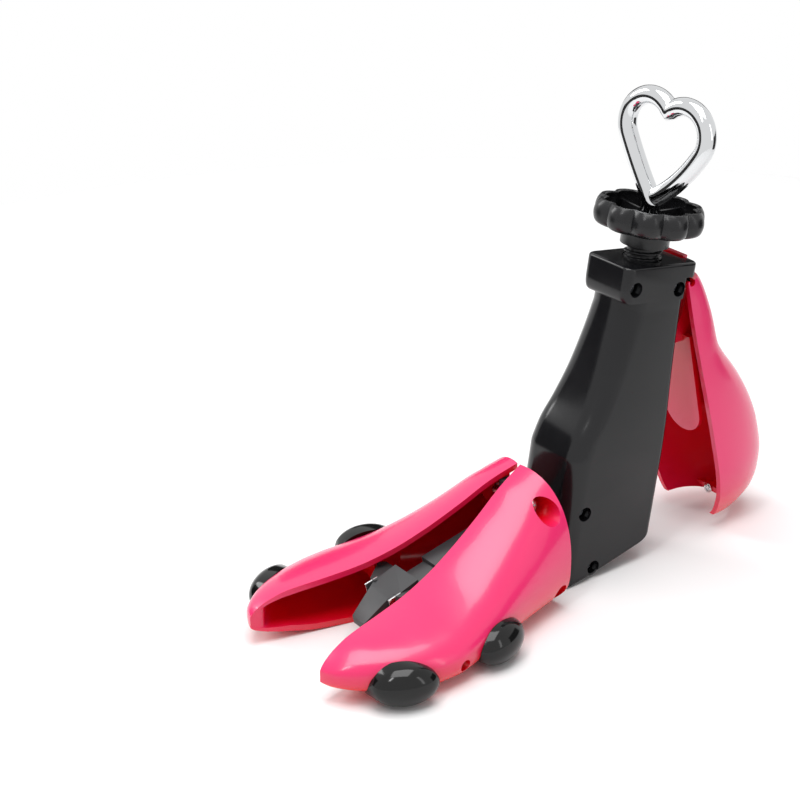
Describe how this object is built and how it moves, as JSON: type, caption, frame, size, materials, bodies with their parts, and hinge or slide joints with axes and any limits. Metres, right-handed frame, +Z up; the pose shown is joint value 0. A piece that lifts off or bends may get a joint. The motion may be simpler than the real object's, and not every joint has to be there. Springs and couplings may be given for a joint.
{
  "type": "shoe stretcher",
  "caption": "Two-way shoe stretcher: split toe spread by a wedge, swinging heel shell, leaning handle body, lobed knob and heart-shaped rod handle.",
  "frame": {"origin": "on the floor, on the flat foot of the handle body, 14 mm behind the line that the toe shells turn on", "axes": "+Z up; -Y towards the toe, +Y towards the heel; +X towards the left toe shell"},
  "size_m": [0.1072, 0.2507, 0.2004],
  "materials": {
    "black_shell": "gloss",
    "black_knob": "gloss",
    "black_inner": "satin",
    "pink_shell": "gloss",
    "black_pad": "gloss",
    "chrome_rod": "mirror polish",
    "bright_steel": "bright plated",
    "steel": "satin",
    "brass": "satin"
  },
  "bodies": {
    "body": {"body_shell_left": "black_shell", "body_shell_right": "black_shell", "body_screws": "steel", "sleeve_nut": "brass", "stem_bush": "black_inner", "toe_arm": "black_inner", "screw_bush": "brass", "heel_pin": "steel", "toe_screws_upper": "bright_steel", "toe_screws_lower": "bright_steel", "toe_spring_left": "steel", "toe_spring_right": "steel"},
    "pusher": {"pusher": "steel", "thrust_washer": "steel"},
    "knob": {"length_knob": "black_knob", "threaded_sleeve": "black_knob"},
    "handle": {"heart_handle": "chrome_rod", "rod_clip": "steel"},
    "stem_gear": {"stem_gear": "brass", "gear_clip": "steel"},
    "lead_screw": {"lead_screw": "steel", "screw_gear": "brass"},
    "wedge": {"wedge": "black_inner", "wedge_plates": "bright_steel", "wedge_nut": "brass"},
    "heel": {"heel_shell": "pink_shell", "heel_screw": "bright_steel"},
    "toe_left": {"toe_shell_left": "pink_shell", "pad_left_front": "black_pad", "pad_left_rear": "black_pad"},
    "toe_right": {"toe_shell_right": "pink_shell", "pad_right_front": "black_pad", "pad_right_rear": "black_pad"}
  },
  "joints": [
    {"name": "pusher_slide", "type": "slide", "parent": "body", "child": "pusher", "axis": [0, -0.1461, -0.9893], "range_m": [-0.015, 0.004]},
    {"name": "knob_spin", "type": "hinge", "parent": "pusher", "child": "knob", "pos_m": [0, 0.02622, -0.00387], "axis": [0, 0.1461, 0.9893], "range_deg": [-578, 2162]},
    {"name": "heel_swing", "type": "hinge", "parent": "body", "child": "heel", "pos_m": [0, 0.06279, 0.12062], "axis": [1, 0, 0], "range_deg": [-19.9, 5.5]},
    {"name": "handle_spin", "type": "hinge", "parent": "pusher", "child": "handle", "pos_m": [0, 0.02622, -0.00387], "axis": [0, 0.1461, 0.9893], "range_deg": [-452, 2522]},
    {"name": "stem_gear_spin", "type": "hinge", "parent": "body", "child": "stem_gear", "pos_m": [0, 0.02622, -0.00387], "axis": [0, 0.1461, 0.9893], "range_deg": [-452, 2522]},
    {"name": "lead_screw_spin", "type": "hinge", "parent": "body", "child": "lead_screw", "pos_m": [0, 0.03285, 0.04104], "axis": [0, -0.9744, -0.225], "range_deg": [-2522, 452]},
    {"name": "wedge_slide", "type": "slide", "parent": "body", "child": "wedge", "axis": [0, -0.9744, -0.225], "range_m": [-0.014, 0.0025]},
    {"name": "toe_left_swing", "type": "hinge", "parent": "body", "child": "toe_left", "pos_m": [0, -0.014, 0], "axis": [0, 0, 1], "range_deg": [-11.4, 2.1], "deforming": ["toe_spring_left"]},
    {"name": "toe_right_swing", "type": "hinge", "parent": "body", "child": "toe_right", "pos_m": [0, -0.014, 0], "axis": [0, 0, 1], "range_deg": [-2.1, 11.4], "deforming": ["toe_spring_right"]}
  ],
  "couplings": [
    {"joint": "knob_spin", "follows": "pusher_slide", "rad_per_m": -2513.3},
    {"joint": "heel_swing", "follows": "pusher_slide", "rad_per_m": 22.922},
    {"joint": "handle_spin", "follows": "wedge_slide", "rad_per_m": -3141.6},
    {"joint": "stem_gear_spin", "follows": "wedge_slide", "rad_per_m": -3141.6},
    {"joint": "lead_screw_spin", "follows": "wedge_slide", "rad_per_m": 3141.6},
    {"joint": "toe_left_swing", "follows": "wedge_slide", "rad_per_m": 14.087},
    {"joint": "toe_right_swing", "follows": "wedge_slide", "rad_per_m": -14.087}
  ]
}
